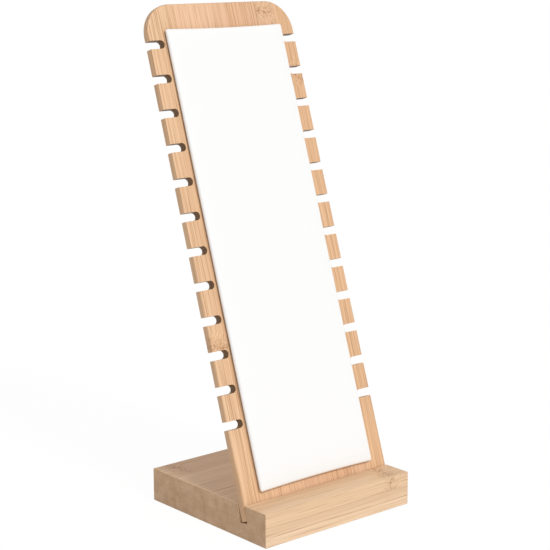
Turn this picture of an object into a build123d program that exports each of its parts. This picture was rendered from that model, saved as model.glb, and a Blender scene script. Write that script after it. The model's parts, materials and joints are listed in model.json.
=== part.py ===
# Necklace holder: a bamboo panel with notched edges and a soft pad on its face,
# leaning back in a slanted groove across a laminated bamboo base.
# Millimetres. Origin at the middle of the base's underside, +X right, +Y to the back, +Z up.
import os
from math import acos, atan2, cos, hypot, radians, sin, tan

from build123d import *

# Base block: strips glued side by side in three plies
base_width = 144.0
base_depth = 137.0
bottom_ply = 7.4
core_ply = 7.8
top_ply = 10.8
strip_count = 5
base_edge_radius = 0.6

# Groove across the base, wider than the panel so that the panel drops in and leans back
groove_setback = 23.5
groove_tilt = 11.5
groove_slack = 1.8
seat_clearance = 0.15
foot_gap = 0.9

# Panel: staves glued edge to edge. The outer two carry the notches, and the inner ones are
# trimmed in proportion to fill the width between them.
panel_thickness = 6.5
panel_length = 387.0
panel_taper = 1.4
panel_seat = 13.9
panel_corner_radius = 24.0
panel_edge_radius = 1.5
left_stave = 27.0
inner_staves = (26.0, 25.0, 30.0, 18.0)

# Notches down both long edges of the panel, and the bamboo left behind them in the right stave
notch_count = 12
notch_gap = 6.4
notch_depth = 14.6
notch_land = 3.4
first_notch_drop = 30.5
last_notch_rise = 70.5

# Pad on the panel's face: cover, foam, card and tape
pad_notch_gap = 1.5
pad_top_margin = 19.6
pad_foot_margin = 17.8
pad_corner_radius = 2.5
pad_edge_radius = 2.0
pad_draw_in = 1.0
pad_crown = 0.6
cover_thickness = 0.5
cover_ease = 0.1
hem_width = 12.0
tape_clearance = 1.0
card_thickness = 1.5
foam_thickness = 2.0

# Base block and the groove across it
base_height = bottom_ply + core_ply + top_ply
groove_width = panel_thickness + groove_slack
groove_front = groove_setback - base_depth / 2

# The panel leans until its back touches the groove's rear edge and its foot the groove's front wall
free_width = groove_width - 2 * seat_clearance
foot_reach = hypot(panel_thickness, panel_seat)
rock = atan2(panel_seat, panel_thickness) - acos(free_width / foot_reach)
tilt = radians(groove_tilt)
lean = tilt + rock
rear_edge_rise = groove_width * tan(tilt)
foot_depth = panel_seat * cos(rock) - rear_edge_rise
groove_depth = foot_depth + foot_gap

# Across the groove to the back is the plane's X, up along its walls is the plane's Y
groove_plane = Plane(
    origin=(0, groove_front, base_height),
    x_dir=(0, cos(tilt), -sin(tilt)),
    z_dir=(1, 0, 0),
)
panel_foot = groove_plane.from_local_coords(
    Vector(seat_clearance + panel_thickness * cos(rock), -foot_depth, 0)
)

# On the panel's back and front faces: X across, Y up the slope from the foot, Z out of the face
panel_back = Plane(origin=panel_foot, x_dir=(1, 0, 0), z_dir=(0, -cos(lean), sin(lean)))
panel_front = panel_back.offset(panel_thickness)
panel_width = base_width

os.makedirs("parts", exist_ok=True)


def save(part, name):
    part.label = name
    export_step(part, f"parts/{name}.step")


# Whole base block, with its edges eased and the groove cut right across
with BuildPart() as block:
    Box(base_width, base_depth, base_height, align=(Align.CENTER, Align.CENTER, Align.MIN))
    fillet(block.edges(), base_edge_radius)
    with BuildSketch(groove_plane):
        with Locations((0, -groove_depth)):
            Rectangle(groove_width, groove_depth + groove_width, align=(Align.MIN, Align.MIN))
    extrude(amount=base_width, both=True, mode=Mode.SUBTRACT)

# The strips that the block is glued up from, front strip first in each ply. The joint behind the
# front strip lies in the middle of the groove, so the groove comes between two strips.
front_strip = groove_setback + groove_width / 2
other_strip = (base_depth - front_strip) / (strip_count - 1)
strip_depths = (front_strip,) + (other_strip,) * (strip_count - 1)
plies = {
    "bottom": (0, bottom_ply),
    "core": (bottom_ply, core_ply),
    "top": (bottom_ply + core_ply, top_ply),
}
for ply, (ply_floor, ply_height) in plies.items():
    strip_front = -base_depth / 2
    for number, strip_depth in enumerate(strip_depths, start=1):
        with BuildPart() as strip:
            add(block.part)
            with Locations((0, strip_front, ply_floor)):
                Box(
                    base_width,
                    strip_depth,
                    ply_height,
                    align=(Align.CENTER, Align.MIN, Align.MIN),
                    mode=Mode.INTERSECT,
                )
        save(strip.part, f"base_{ply}_strip_{number}")
        strip_front += strip_depth

# Whole panel: narrowing to a rounded top, its edges rounded over all the way round except at the
# foot, which stays square as sawn. The round-ended notches are cut after that.
notch_run = panel_length - first_notch_drop - last_notch_rise
notch_pitch = notch_run / (notch_count - 1)
notch_line = last_notch_rise + notch_run / 2
with BuildPart() as panel:
    with BuildSketch(panel_back) as outline:
        with BuildLine():
            Polyline(
                (-panel_width / 2, 0),
                (panel_width / 2, 0),
                (panel_width / 2 - panel_taper, panel_length),
                (panel_taper - panel_width / 2, panel_length),
                close=True,
            )
        make_face()
        fillet(outline.vertices().group_by(Axis.Y)[-1], panel_corner_radius)
    extrude(amount=panel_thickness)
    through_panel = panel.faces().sort_by(Axis(panel_foot, panel_back.z_dir))
    up_slope = Axis(panel_foot, panel_back.y_dir)
    back_edges = through_panel[0].edges().sort_by(up_slope)
    front_edges = through_panel[-1].edges().sort_by(up_slope)
    fillet(back_edges[1:] + front_edges[1:], panel_edge_radius)
    with BuildSketch(panel_back):
        with Locations((-panel_width / 2, notch_line), (panel_width / 2, notch_line)):
            with GridLocations(0, notch_pitch, 1, notch_count):
                SlotOverall(2 * notch_depth, notch_gap)
    extrude(amount=panel_thickness, mode=Mode.SUBTRACT)

# The staves that the panel is glued up from, left stave first
right_stave = notch_depth + notch_land
inner_trim = (panel_width - left_stave - right_stave) / sum(inner_staves)
stave_widths = (left_stave, *(inner_trim * width for width in inner_staves), right_stave)
stave_left = -panel_width / 2
for number, stave_width in enumerate(stave_widths, start=1):
    with BuildPart() as stave:
        add(panel.part)
        with BuildSketch(panel_back):
            with Locations((stave_left, 0)):
                Rectangle(stave_width, panel_length, align=(Align.MIN, Align.MIN))
        extrude(amount=panel_thickness, mode=Mode.INTERSECT)
    save(stave.part, f"panel_stave_{number}")
    stave_left += stave_width

# Pad: straight-sided, as wide as the notches leave room for.
# On its face plane X runs across, Y up the slope from the pad's middle, Z out of the panel.
pad_half_width = panel_width / 2 - notch_depth - pad_notch_gap
pad_length = panel_length - pad_top_margin - pad_foot_margin
pad_middle = Vector(0, pad_foot_margin + pad_length / 2, 0)
pad_face = Plane(
    origin=panel_front.from_local_coords(pad_middle),
    x_dir=panel_front.x_dir,
    z_dir=panel_front.z_dir,
)
pad_section = Plane(origin=pad_face.origin, x_dir=pad_face.x_dir, z_dir=-pad_face.y_dir)

# The pad's layers, as insets from its outline and heights above the panel's face
filling_inset = cover_thickness + cover_ease
foam_floor = cover_thickness + card_thickness
pad_rim = foam_floor + foam_thickness + cover_thickness

# The crown's arc spans the whole panel, so past the pad's sides it falls below the rim
crown_fall = pad_crown * ((panel_width / 2 / pad_half_width) ** 2 - 1)


def pad_plate(inset, corner_radius, floor, height):
    """Plate in the pad's outline, inset all round, with both its ends drawn in."""
    side = pad_half_width - inset
    end = pad_length / 2 - inset
    drawn_in = end - pad_draw_in
    with BuildPart() as plate:
        with BuildSketch(pad_face.offset(floor)) as rim:
            with BuildLine():
                ThreePointArc((-side, end), (0, drawn_in), (side, end))
                Line((side, end), (side, -end))
                ThreePointArc((side, -end), (0, -drawn_in), (-side, -end))
                Line((-side, -end), (-side, end))
            make_face()
            fillet(rim.vertices(), corner_radius)
        extrude(amount=height)
    return plate.part


def crowned_plate(inset, floor, rim):
    """Plate in the pad's outline with a crowned face and a rounded rim."""
    plate = pad_plate(inset, pad_corner_radius - inset, floor, rim + pad_crown - floor)
    with BuildPart() as crowned:
        add(plate)
        with BuildSketch(pad_section):
            with BuildLine():
                Polyline(
                    (-panel_width / 2, rim - crown_fall),
                    (-panel_width / 2, -panel_thickness),
                    (panel_width / 2, -panel_thickness),
                    (panel_width / 2, rim - crown_fall),
                )
                ThreePointArc(
                    (panel_width / 2, rim - crown_fall),
                    (0, rim + pad_crown),
                    (-panel_width / 2, rim - crown_fall),
                )
            make_face()
        extrude(amount=pad_length, both=True, mode=Mode.INTERSECT)
        crown = crowned.faces().sort_by(Axis(pad_face.origin, pad_face.z_dir))[-1]
        fillet(crown.edges(), pad_edge_radius - inset)
    return crowned.part


# Cover: a leatherette skin drawn over the filling and turned under it in a hem
cover_outside = crowned_plate(0, 0, pad_rim)
cover_inside = crowned_plate(cover_thickness, cover_thickness, pad_rim - cover_thickness)
hem_window = pad_plate(hem_width, pad_corner_radius, 0, cover_thickness)
with BuildPart() as pad_cover:
    add(cover_outside)
    add(cover_inside, mode=Mode.SUBTRACT)
    add(hem_window, mode=Mode.SUBTRACT)
save(pad_cover.part, "pad_cover")

# Filling: a stiff card with a foam sheet on it
filling = crowned_plate(filling_inset, cover_thickness, pad_rim - filling_inset)
with BuildPart() as pad_card:
    add(filling)
    split(bisect_by=pad_face.offset(foam_floor), keep=Keep.BOTTOM)
save(pad_card.part, "pad_card")
with BuildPart() as pad_foam:
    add(filling)
    split(bisect_by=pad_face.offset(foam_floor), keep=Keep.TOP)
save(pad_foam.part, "pad_foam")

# Tape: double-sided, as thick as the hem around it, between the card and the panel
with BuildPart() as pad_tape:
    add(pad_plate(hem_width + tape_clearance, pad_corner_radius, 0, cover_thickness))
save(pad_tape.part, "pad_tape")
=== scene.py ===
# Necklace holder: a bamboo panel with notched edges and a white leatherette pad, leaning back
# in a laminated bamboo base. Metres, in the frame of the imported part: +X right, +Y back, +Z up.
import json
from math import pi, radians

import bmesh
import bpy
from mathutils import Matrix, Vector, noise


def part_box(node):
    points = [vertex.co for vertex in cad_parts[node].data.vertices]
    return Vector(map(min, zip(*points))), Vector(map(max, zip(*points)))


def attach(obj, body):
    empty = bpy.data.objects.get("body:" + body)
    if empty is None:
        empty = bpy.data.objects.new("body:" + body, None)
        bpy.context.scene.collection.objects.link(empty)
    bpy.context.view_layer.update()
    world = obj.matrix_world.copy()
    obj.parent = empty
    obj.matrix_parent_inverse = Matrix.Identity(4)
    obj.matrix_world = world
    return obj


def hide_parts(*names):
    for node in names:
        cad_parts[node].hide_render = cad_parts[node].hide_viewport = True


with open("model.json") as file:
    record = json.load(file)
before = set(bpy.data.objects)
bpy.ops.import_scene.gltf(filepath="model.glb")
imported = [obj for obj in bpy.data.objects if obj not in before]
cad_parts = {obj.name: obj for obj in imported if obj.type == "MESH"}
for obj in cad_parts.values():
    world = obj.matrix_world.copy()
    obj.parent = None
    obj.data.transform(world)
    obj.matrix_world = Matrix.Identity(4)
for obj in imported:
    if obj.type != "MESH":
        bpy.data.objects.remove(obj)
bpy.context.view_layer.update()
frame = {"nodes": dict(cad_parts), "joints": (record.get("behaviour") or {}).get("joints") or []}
mm = 0.001

# Base block
# Strips of bamboo, steamed to a light tan, glued side by side in three plies, planed flush and sealed
# with a thin satin lacquer. The grain runs from side to side, so long fibres show on the front and
# the top, and their cut ends on the left and the right. Each low and high are the values of a noise
# between which a mark comes in.
streak_length = 240 * mm
streak_width = 1.5 * mm
streak_low, streak_high = 0.33, 0.67
fibre_length = 70 * mm
fibre_width = 0.9 * mm
fibre_low, fibre_high = 0.54, 0.7
fibre_relief = 0.25
fibre_depth = 0.1 * mm
glue_width = 0.4 * mm
fade_low, fade_high = 0.35, 0.6
faintest_glue = 0.3
break_low, break_high = 0.5, 0.62
ring_reach = 11 * mm
ring_wave = 22 * mm
ring_line_width = 1.7 * mm
ring_bend = 5 * mm
curl = 3.0 * mm
curl_twist = 1.5
curl_low, curl_high = 0.44, 0.64
curl_share = 0.75
blotch = 9 * mm
blotch_low, blotch_high = 0.3, 0.7
least_drink, most_drink = 0.4, 0.8
end_starts, end_full = 0.6, 0.95
saw_starts, saw_full = 0.95, 0.2
saw_share = 0.3
# Mask of the browned notch walls: partly the cutter's burn, partly painted shade in the notches
notch_burn_and_shade_starts, notch_burn_and_shade_full = 0.85, 0.4
notch_burn_and_shade_share = 0.9
notch_burn_and_shade_fade = 1 * mm
fibre_brown = "#A87A50"
glue_brown = "#9C7148"
mottle_brown = "#BE8C60"
ring_brown = "#A5774E"
end_brown = "#B98F66"
# Brown of the notch walls, partly the cutter's burn and partly painted shade
notch_burn_and_shade_brown = "#744B00"
to_right = Vector((1, 0, 0))
to_back = Vector((0, 1, 0))


def linear(hex_colour):
    """Linear RGBA of an sRGB colour written as #RRGGBB."""
    channels = [int(hex_colour[start:start + 2], 16) / 255 for start in (1, 3, 5)]
    curve = [c / 12.92 if c <= 0.04045 else ((c + 0.055) / 1.055) ** 2.4 for c in channels]
    return (*curve, 1)


def add(tree, kind, inputs=None, **settings):
    """Adds a node with its settings, and sets or links its inputs by name or number."""
    node = tree.nodes.new(kind)
    for name, value in settings.items():
        setattr(node, name, value)
    for socket, value in (inputs or {}).items():
        if isinstance(value, bpy.types.NodeSocket):
            tree.links.new(value, node.inputs[socket])
        else:
            node.inputs[socket].default_value = value
    return node


# Sockets of a node that mixes two colours: the share of the second, the colours and the result
mix_by, mix_a, mix_b, mix_out = 0, 6, 7, 2


def new_tree(name):
    """A new material and its empty node tree."""
    material = bpy.data.materials.new(name)
    material.use_nodes = True
    material.node_tree.nodes.clear()
    return material, material.node_tree


def bamboo(name, along, side, pale, dark, fibre_share, shift, seams, ring, notches=None):
    """Lacquered bamboo with its grain in one direction, and a side that lies across it.

    It gives the eye long fine streaks, the dots of cut fibres on darker ends, thin glue lines at the
    seams, each an axis, a place and a strength, and the curled grain at a ring of the stalk. Notches
    are the stretch along the grain and the reach across it where cut walls are browned, partly as the
    cutter's burn and partly as painted shade in the notches.
    """
    material, tree = new_tree(name)
    place = add(tree, "ShaderNodeTexCoord").outputs["Object"]
    normal = add(tree, "ShaderNodeNewGeometry").outputs["Normal"]
    turn = Matrix((along, side, along.cross(side))).to_euler()
    grain = add(tree, "ShaderNodeMapping", {"Vector": place, "Rotation": turn}).outputs["Vector"]
    axes = add(tree, "ShaderNodeSeparateXYZ", {"Vector": grain}).outputs

    # The ring waves across the grain and curls the fibres near it
    wave = add(tree, "ShaderNodeTexNoise", {"Vector": grain, "Scale": 1 / ring_wave, "Detail": 0})
    from_ring = add(
        tree,
        "ShaderNodeMath",
        {0: axes["X"], 1: ring + ring_reach / 2},
        operation="SUBTRACT",
    )
    waved = add(
        tree,
        "ShaderNodeMath",
        {0: wave.outputs["Fac"], 1: ring_reach, 2: from_ring.outputs[0]},
        operation="MULTIPLY_ADD",
    )
    ring_distance = add(tree, "ShaderNodeMath", {0: waved.outputs[0]}, operation="ABSOLUTE")
    near_ring = add(
        tree,
        "ShaderNodeMapRange",
        {"Value": ring_distance.outputs[0], "From Max": ring_reach, "To Min": 1, "To Max": 0},
        interpolation_type="SMOOTHSTEP",
    )
    curls = add(
        tree,
        "ShaderNodeTexNoise",
        {"Vector": grain, "Scale": 1 / curl, "Detail": 2, "Distortion": curl_twist},
    )
    bend = add(
        tree,
        "ShaderNodeVectorMath",
        {0: curls.outputs["Color"], "Scale": near_ring.outputs[0]},
        operation="SCALE",
    )
    bent = add(
        tree,
        "ShaderNodeVectorMath",
        {0: bend.outputs[0], 1: (ring_bend, ring_bend, ring_bend), 2: grain},
        operation="MULTIPLY_ADD",
    )

    # Streaks are bundles of fibres, and the darkest fibres show as thin dashes on them
    streak_place = add(
        tree,
        "ShaderNodeVectorMath",
        {0: bent.outputs[0], 1: (1 / streak_length, 1 / streak_width, 1 / streak_width), 2: shift},
        operation="MULTIPLY_ADD",
    )
    streaks = add(
        tree,
        "ShaderNodeTexNoise",
        {"Vector": streak_place.outputs[0], "Scale": 1, "Detail": 4, "Roughness": 0.65},
    )
    tone = add(
        tree,
        "ShaderNodeMapRange",
        {"Value": streaks.outputs["Fac"], "From Min": streak_low, "From Max": streak_high},
    )
    ground = add(
        tree,
        "ShaderNodeMix",
        {mix_by: tone.outputs[0], mix_a: linear(dark), mix_b: linear(pale)},
        data_type="RGBA",
    )
    fibre_place = add(
        tree,
        "ShaderNodeVectorMath",
        {0: bent.outputs[0], 1: (1 / fibre_length, 1 / fibre_width, 1 / fibre_width), 2: shift},
        operation="MULTIPLY_ADD",
    )
    fibres = add(
        tree,
        "ShaderNodeTexNoise",
        {"Vector": fibre_place.outputs[0], "Scale": 1, "Detail": 2, "Roughness": 0.5},
    )
    dashes = add(
        tree,
        "ShaderNodeMapRange",
        {
            "Value": fibres.outputs["Fac"],
            "From Min": fibre_low,
            "From Max": fibre_high,
            "To Max": fibre_share,
        },
    )
    fibred = add(
        tree,
        "ShaderNodeMix",
        {mix_by: dashes.outputs[0], mix_a: ground.outputs[mix_out], mix_b: linear(fibre_brown)},
        data_type="RGBA",
    )
    spots = add(
        tree,
        "ShaderNodeMapRange",
        {
            "Value": curls.outputs["Fac"],
            "From Min": curl_low,
            "From Max": curl_high,
            "To Max": curl_share,
        },
    )
    mottle = add(
        tree,
        "ShaderNodeMath",
        {0: near_ring.outputs[0], 1: spots.outputs[0]},
        operation="MULTIPLY",
    )
    mottled = add(
        tree,
        "ShaderNodeMix",
        {mix_by: mottle.outputs[0], mix_a: fibred.outputs[mix_out], mix_b: linear(mottle_brown)},
        data_type="RGBA",
    )
    ring_line = add(
        tree,
        "ShaderNodeMapRange",
        {"Value": ring_distance.outputs[0], "From Max": ring_line_width, "To Min": 1, "To Max": 0},
    )
    broken_line = add(
        tree,
        "ShaderNodeMath",
        {0: ring_line.outputs[0], 1: spots.outputs[0]},
        operation="MULTIPLY",
    )
    ringed = add(
        tree,
        "ShaderNodeMix",
        {mix_by: broken_line.outputs[0], mix_a: mottled.outputs[mix_out], mix_b: linear(ring_brown)},
        data_type="RGBA",
    )
    colour = ringed.outputs[mix_out]

    # Glue lines where this strip meets the next fade in and out, and break up on the cut ends
    toward = add(tree, "ShaderNodeVectorMath", {0: normal, 1: along}, operation="DOT_PRODUCT")
    squareness = add(tree, "ShaderNodeMath", {0: toward.outputs["Value"]}, operation="ABSOLUTE")
    blotches = add(tree, "ShaderNodeTexNoise", {"Vector": grain, "Scale": 1 / blotch, "Detail": 3})
    breaks = add(
        tree,
        "ShaderNodeMapRange",
        {"Value": blotches.outputs["Fac"], "From Min": break_low, "From Max": break_high},
    )
    fading = add(
        tree,
        "ShaderNodeMapRange",
        {
            "Value": wave.outputs["Fac"],
            "From Min": fade_low,
            "From Max": fade_high,
            "To Min": faintest_glue,
        },
    )
    clearness = add(
        tree,
        "ShaderNodeMapRange",
        {
            "Value": squareness.outputs[0],
            "From Min": end_starts,
            "From Max": end_full,
            "To Min": fading.outputs[0],
            "To Max": breaks.outputs[0],
        },
    )
    for axis, spot, strength in seams:
        offset = add(tree, "ShaderNodeMath", {0: axes[axis], 1: spot}, operation="SUBTRACT")
        gap = add(tree, "ShaderNodeMath", {0: offset.outputs[0]}, operation="ABSOLUTE")
        line = add(
            tree,
            "ShaderNodeMapRange",
            {"Value": gap.outputs[0], "From Max": glue_width, "To Min": strength, "To Max": 0},
        )
        shown = add(
            tree,
            "ShaderNodeMath",
            {0: line.outputs[0], 1: clearness.outputs[0]},
            operation="MULTIPLY",
        )
        lined = add(
            tree,
            "ShaderNodeMix",
            {mix_by: shown.outputs[0], mix_a: colour, mix_b: linear(glue_brown)},
            data_type="RGBA",
        )
        colour = lined.outputs[mix_out]

    # Fibres cut across drink the lacquer and turn darker
    drink = add(
        tree,
        "ShaderNodeMapRange",
        {
            "Value": blotches.outputs["Fac"],
            "From Min": blotch_low,
            "From Max": blotch_high,
            "To Min": least_drink,
            "To Max": most_drink,
        },
    )
    end_share = add(
        tree,
        "ShaderNodeMapRange",
        {
            "Value": squareness.outputs[0],
            "From Min": end_starts,
            "From Max": end_full,
            "To Max": drink.outputs[0],
        },
    )
    ended = add(
        tree,
        "ShaderNodeMix",
        {mix_by: end_share.outputs[0], mix_a: colour, mix_b: linear(end_brown)},
        data_type="RGBA",
    )
    colour = ended.outputs[mix_out]

    # Sawn sides are darker than the planed faces, and the walls of the notches are browned, partly as
    # the cutter's burn and partly as painted shade in the notches
    if notches:
        outlook = add(
            tree,
            "ShaderNodeVectorMath",
            {0: normal, 1: along.cross(side)},
            operation="DOT_PRODUCT",
        )
        flatness = add(tree, "ShaderNodeMath", {0: outlook.outputs["Value"]}, operation="ABSOLUTE")
        sawn = add(
            tree,
            "ShaderNodeMapRange",
            {
                "Value": flatness.outputs[0],
                "From Min": saw_starts,
                "From Max": saw_full,
                "To Max": saw_share,
            },
        )
        sided = add(
            tree,
            "ShaderNodeMix",
            {mix_by: sawn.outputs[0], mix_a: colour, mix_b: linear(end_brown)},
            data_type="RGBA",
        )
        colour = sided.outputs[mix_out]
        inset = add(tree, "ShaderNodeMath", {0: axes["Y"]}, operation="ABSOLUTE")
        lowest, highest, mouth = notches
        burn_and_shade = notch_burn_and_shade_share
        for value, start, end in (
            (flatness.outputs[0], notch_burn_and_shade_starts, notch_burn_and_shade_full),
            (inset.outputs[0], mouth + notch_burn_and_shade_fade, mouth - notch_burn_and_shade_fade),
            (axes["X"], lowest - notch_burn_and_shade_fade, lowest),
            (axes["X"], highest + notch_burn_and_shade_fade, highest),
        ):
            part = add(tree, "ShaderNodeMapRange", {"Value": value, "From Min": start, "From Max": end})
            product = add(tree, "ShaderNodeMath", {0: part.outputs[0], 1: burn_and_shade}, operation="MULTIPLY")
            burn_and_shade = product.outputs[0]
        # Mixes in the notch brown: the cutter's burn together with painted shade in the notches
        burnt_and_shaded = add(
            tree,
            "ShaderNodeMix",
            {mix_by: burn_and_shade, mix_a: colour, mix_b: linear(notch_burn_and_shade_brown)},
            data_type="RGBA",
        )
        colour = burnt_and_shaded.outputs[mix_out]

    relief = add(
        tree,
        "ShaderNodeBump",
        {"Height": fibres.outputs["Fac"], "Strength": fibre_relief, "Distance": fibre_depth},
    )
    shader = add(
        tree,
        "ShaderNodeBsdfPrincipled",
        {
            "Base Color": colour,
            "Roughness": 0.48,
            "IOR": 1.5,
            "Coat Weight": 0.15,
            "Coat Roughness": 0.35,
            "Normal": relief.outputs[0],
        },
    )
    add(tree, "ShaderNodeOutputMaterial", {"Surface": shader.outputs[0]})
    return material


def dress(node, material):
    """Gives a CAD node one material on all its slots."""
    mesh = frame["nodes"][node].data
    mesh.materials.clear()
    mesh.materials.append(material)


base_tones = {
    "bottom": ("#F7DAB9", "#E9C6A0"),
    "core": ("#F2D1AE", "#E2BC96"),
    "top": ("#F5D3AE", "#E4BD94"),
}

# The strips of the top ply behind the panel are painted paler: painted light that lifts the panel's
# shadow on them
painted_light_tones = ("#FADAB6", "#EBC79F")
base_rings = {
    "base_top_strip_1": 55 * mm,
    "base_top_strip_5": -58 * mm,
    "base_core_strip_3": 16 * mm,
    "base_bottom_strip_4": -34 * mm,
}
lower_ply_line = 0.8
upper_ply_line = 0.35
strip_line = 0.3
base_fibre_share = 0.5
strip_count = 5
strip_shift = (3.7, 11.3, 5.9)

# A strip without a ring has one a metre away, far outside the part
no_ring = 1.0
for ply_number, (ply, (pale, dark)) in enumerate(base_tones.items()):
    for number in range(1, strip_count + 1):
        strip = f"base_{ply}_strip_{number}"
        low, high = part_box(strip)
        # The middle strips of the top ply take the paler tones, painted light against the panel's shadow
        tones = painted_light_tones if ply == "top" and 1 < number < strip_count else (pale, dark)
        seams = []
        if ply == "bottom":
            seams.append(("Z", high.z, lower_ply_line))
        if ply == "core":
            seams.append(("Z", low.z, lower_ply_line))
            seams.append(("Z", high.z, upper_ply_line))
        if ply == "top":
            seams.append(("Z", low.z, upper_ply_line))
        if number > 1:
            seams.append(("Y", low.y, strip_line))
        if number < strip_count:
            seams.append(("Y", high.y, strip_line))
        shift = (strip_shift[0] * number, strip_shift[1] * ply_number, strip_shift[2] * number)
        ring = base_rings.get(strip, no_ring)
        look = bamboo(
            f"bamboo_{strip}",
            to_right,
            to_back,
            *tones,
            base_fibre_share,
            shift,
            seams,
            ring,
        )
        dress(strip, look)

# Leaning panel
# Six bamboo staves glued edge to edge into a thin board, sawn to its outline, rounded over at its edges,
# notched down both sides and sealed like the base. It stands loose in the groove across the base and
# leans back. The grain runs up the slope.
up_slope = Vector(frame["joints"][0]["axis"]).normalized()
stave_line = 0.35
panel_fibre_share = 0.7
stave_shift = (2.3, 7.1, 4.7)
notch_stretch = (62 * mm, 361 * mm, 69.6 * mm)
staves = {
    "panel_stave_1": ("#F9D1A7", "#E0B187", 129 * mm),
    "panel_stave_2": ("#FBD0A9", "#EABB92", 248 * mm),
    "panel_stave_3": ("#F7CCA6", "#E2B18B", 57 * mm),
    "panel_stave_4": ("#F5C8A1", "#D9A77D", 186 * mm),
    "panel_stave_5": ("#F7CDA7", "#E2B38C", 379 * mm),
    "panel_stave_6": ("#F4C89D", "#DAAA7E", 327 * mm),
}
for number, (stave, (pale, dark, ring)) in enumerate(staves.items(), start=1):
    low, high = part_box(stave)
    seams = []
    if number > 1:
        seams.append(("Y", low.x, stave_line))
    if number < len(staves):
        seams.append(("Y", high.x, stave_line))
    shift = (stave_shift[0] * number, stave_shift[1] * number, stave_shift[2])
    notches = notch_stretch if number in (1, len(staves)) else None
    look = bamboo(
        f"bamboo_{stave}",
        up_slope,
        to_right,
        pale,
        dark,
        panel_fibre_share,
        shift,
        seams,
        ring,
        notches,
    )
    dress(stave, look)

# Pad
# White leatherette drawn over a foam sheet on a stiff card and glued down behind it, held to the panel
# by double-sided tape. Its face swells a little, its rim is round and its ends are drawn in. The skin
# curls under to its hem, so the pad's edge stands a little off the panel.
outward = to_right.cross(up_slope)
pad_rim_radius = 1.7 * mm
pad_hem_rise = 2.2 * mm
pad_hem_inset = 0.5 * mm
pad_hem_curl = 8 * mm
pad_corner_radius = 1.8 * mm
pad_corner_segments = 6
pad_rim_segments = 5
pad_crown = 0.6 * mm
pad_draw_in = 1.0 * mm
pad_edge_fall = 0.7 * mm
pad_edge_reach = 9 * mm
pad_pucker = 0.1 * mm
pad_pucker_length = 14 * mm
pad_mesh_step = 2 * mm
facing_down = -0.5


def reach(node, direction):
    """Least and greatest distance of a CAD node's points along a direction."""
    distances = [vertex.co.dot(direction) for vertex in frame["nodes"][node].data.vertices]
    return min(distances), max(distances)


pad_left, pad_right = reach("pad_cover", to_right)
pad_foot, pad_top = reach("pad_cover", up_slope)
pad_floor, pad_crest = reach("pad_cover", outward)
pad_width = pad_right - pad_left
pad_length = pad_top - pad_foot
pad_rim = pad_crest - pad_floor - pad_crown
half_width = pad_width / 2
half_length = pad_length / 2

# A slab with round corners and a round rim, its hem lifted, cut fine enough to take the soft forms
form = bmesh.new()
bmesh.ops.create_cube(form, size=1)
bmesh.ops.scale(form, vec=(pad_width, pad_length, pad_rim), verts=form.verts)
bmesh.ops.translate(form, vec=(0, 0, pad_rim / 2), verts=form.verts)
corners = [edge for edge in form.edges if abs(edge.verts[0].co.z - edge.verts[1].co.z) > pad_rim / 2]
bmesh.ops.bevel(
    form,
    geom=corners,
    offset=pad_corner_radius,
    affect="EDGES",
    segments=pad_corner_segments,
    profile=0.5,
    material=-1,
)
top_rim = [edge for edge in form.edges if all(vertex.co.z > pad_rim / 2 for vertex in edge.verts)]
bmesh.ops.bevel(
    form,
    geom=top_rim,
    offset=pad_rim_radius,
    affect="EDGES",
    segments=pad_rim_segments,
    profile=0.5,
    material=-1,
)
underside = [face for face in form.faces if face.normal.z < facing_down]
bmesh.ops.inset_region(form, faces=underside, thickness=pad_hem_inset, use_even_offset=True)
bmesh.ops.inset_region(form, faces=underside, thickness=pad_hem_curl, use_even_offset=True)
resting = {vertex for face in underside for vertex in face.verts}
hem = [vertex for vertex in form.verts if vertex.co.z < pad_rim / 4 and vertex not in resting]
bmesh.ops.translate(form, vec=(0, 0, pad_hem_rise), verts=hem)
for size, direction in ((pad_width, Vector((1, 0, 0))), (pad_length, Vector((0, 1, 0)))):
    cuts = int(size / pad_mesh_step)
    for cut in range(1, cuts):
        spot = direction * (cut / cuts - 0.5) * size
        everything = form.verts[:] + form.edges[:] + form.faces[:]
        bmesh.ops.bisect_plane(form, geom=everything, plane_co=spot, plane_no=direction)

# The face swells toward its middle, falls softly to its edges and puckers faintly
for vertex in form.verts:
    x, y, z = vertex.co
    side = x / half_width
    end = y / half_length
    lift = z / pad_rim
    pucker = pad_pucker * noise.noise(vertex.co / pad_pucker_length) * lift
    near_side = max(0, 1 - (half_width - abs(x)) / pad_edge_reach)
    near_end = max(0, 1 - (half_length - abs(y)) / pad_edge_reach)
    fall = pad_edge_fall * (1 - (1 - near_side ** 2) * (1 - near_end ** 2))
    vertex.co.y = y - pad_draw_in * (1 - side * side) * end ** 3
    vertex.co.z = z + (pad_crown * (1 - side * side) + pucker - fall) * lift

# It is made flat and then laid on the panel's slope
to_panel = Matrix((to_right, up_slope, outward)).transposed().to_4x4()
to_panel.translation = up_slope * (pad_foot + half_length) + outward * pad_floor
bmesh.ops.transform(form, matrix=to_panel, verts=form.verts)
for face in form.faces:
    face.smooth = True
pad_mesh = bpy.data.meshes.new("leatherette_pad")
form.to_mesh(pad_mesh)
form.free()
pad = bpy.data.objects.new("leatherette_pad", pad_mesh)
bpy.context.scene.collection.objects.link(pad)

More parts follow.
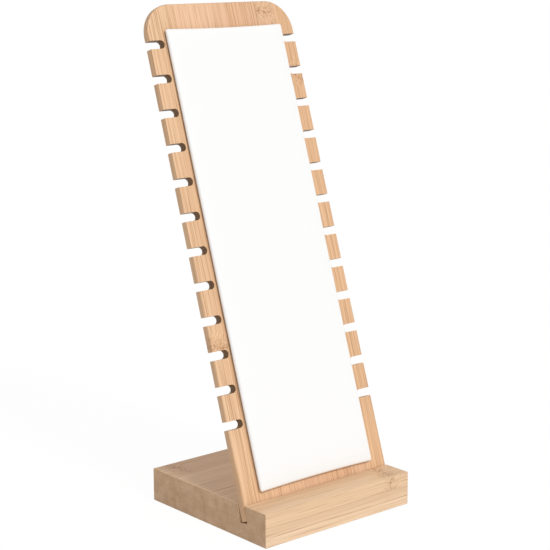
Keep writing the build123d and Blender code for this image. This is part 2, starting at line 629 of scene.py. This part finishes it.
# Leatherette gives the eye an even white with a faint pebbled grain. The pebbles are drawn
# coarser than the real half millimetre so that they show at all.
leather_white = "#FCFCFB"
pebble = 1.4 * mm
pebble_relief = 0.25
pebble_depth = 0.1 * mm
leatherette, tree = new_tree("white_leatherette")
place = add(tree, "ShaderNodeTexCoord").outputs["Object"]
pebbles = add(tree, "ShaderNodeTexVoronoi", {"Vector": place, "Scale": 1 / pebble}, feature="SMOOTH_F1")
relief = add(
    tree,
    "ShaderNodeBump",
    {"Height": pebbles.outputs["Distance"], "Strength": pebble_relief, "Distance": pebble_depth},
)
shader = add(
    tree,
    "ShaderNodeBsdfPrincipled",
    {"Base Color": linear(leather_white), "Roughness": 0.5, "IOR": 1.5, "Normal": relief.outputs[0]},
)
add(tree, "ShaderNodeOutputMaterial", {"Surface": shader.outputs[0]})
pad_mesh.materials.append(leatherette)
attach(pad, "panel")
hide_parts("pad_cover", "pad_foam")

# Card and tape inside the pad
# The card is grey pulp board cut to the pad's outline. The tape is a white paper carrier with adhesive
# on both faces. Both are hidden in the finished piece.
for node, name, colour, roughness in (
    ("pad_card", "grey_board", "#A39A8C", 0.9),
    ("pad_tape", "paper_tape", "#E8E2D2", 0.6),
):
    plain, tree = new_tree(name)
    shader = add(
        tree,
        "ShaderNodeBsdfPrincipled",
        {"Base Color": linear(colour), "Roughness": roughness},
    )
    add(tree, "ShaderNodeOutputMaterial", {"Surface": shader.outputs[0]})
    dress(node, plain)

# Floor
# A plain white sweep of card. Seen by the camera it is mostly an even white that still takes some of
# the object's shadow; to the object it is a pale floor that throws light back up.
floor_half = 20.0
floor_white = "#F2F2F2"
floor_evenness = 0.94
floor_glow = 1.02
floor_mesh = bpy.data.meshes.new("floor")
form = bmesh.new()
bmesh.ops.create_grid(form, x_segments=1, y_segments=1, size=floor_half)
form.to_mesh(floor_mesh)
form.free()
floor = bpy.data.objects.new("floor", floor_mesh)
bpy.context.scene.collection.objects.link(floor)
white_card, tree = new_tree("white_card")
seen = add(tree, "ShaderNodeLightPath").outputs["Is Camera Ray"]
share = add(tree, "ShaderNodeMath", {0: seen, 1: floor_evenness}, operation="MULTIPLY")
matte = add(tree, "ShaderNodeBsdfDiffuse", {"Color": linear(floor_white)})
even = add(tree, "ShaderNodeEmission", {"Strength": floor_glow})
mixed = add(tree, "ShaderNodeMixShader", {0: share.outputs[0], 1: matte.outputs[0], 2: even.outputs[0]})
add(tree, "ShaderNodeOutputMaterial", {"Surface": mixed.outputs[0]})
floor_mesh.materials.append(white_card)

# Light
# One large soft lamp in front of the stand and above it, in a white room that lights it evenly from
# all sides.
key_from = Vector((0, -0.8, 0.67))
key_angle = radians(12)
key_strength = 1.43
room_strength = 0.53
sun = bpy.data.lights.new("key", "SUN")
sun.energy = key_strength
sun.angle = key_angle
key = bpy.data.objects.new("key", sun)
key.rotation_euler = key_from.to_track_quat("Z", "Y").to_euler()
bpy.context.scene.collection.objects.link(key)
world = bpy.data.worlds.new("white_room")
world.use_nodes = True
world.node_tree.nodes.clear()
tree = world.node_tree
seen = add(tree, "ShaderNodeLightPath").outputs["Is Camera Ray"]
lit = add(tree, "ShaderNodeBackground", {"Color": (1, 1, 1, 1), "Strength": room_strength})
shown = add(tree, "ShaderNodeBackground", {"Color": (1, 1, 1, 1), "Strength": 1})
mixed = add(tree, "ShaderNodeMixShader", {0: seen, 1: lit.outputs[0], 2: shown.outputs[0]})
add(tree, "ShaderNodeOutputWorld", {"Surface": mixed.outputs[0]})
bpy.context.scene.world = world

# Camera
# A short telephoto a little above the panel's top, in front and to the left of the stand.
camera_place = (-755.09 * mm, -889.60 * mm, 424.87 * mm)
camera_yaw = 0.70112
camera_pitch = 0.20606
camera_roll = -0.00549
camera_lens = 102.96
camera_sensor = 36
camera_sight = 100
lens = bpy.data.cameras.new("camera")
lens.lens = camera_lens
lens.sensor_width = camera_sensor
lens.clip_end = camera_sight
camera = bpy.data.objects.new("camera", lens)
aim = Matrix.Rotation(-camera_yaw, 3, "Z") @ Matrix.Rotation(pi / 2 - camera_pitch, 3, "X")
camera.rotation_euler = (aim @ Matrix.Rotation(camera_roll, 3, "Z")).to_euler()
camera.location = camera_place
bpy.context.scene.collection.objects.link(camera)
bpy.context.scene.camera = camera
bpy.context.scene.view_settings.view_transform = "Standard"

bpy.context.view_layer.update()
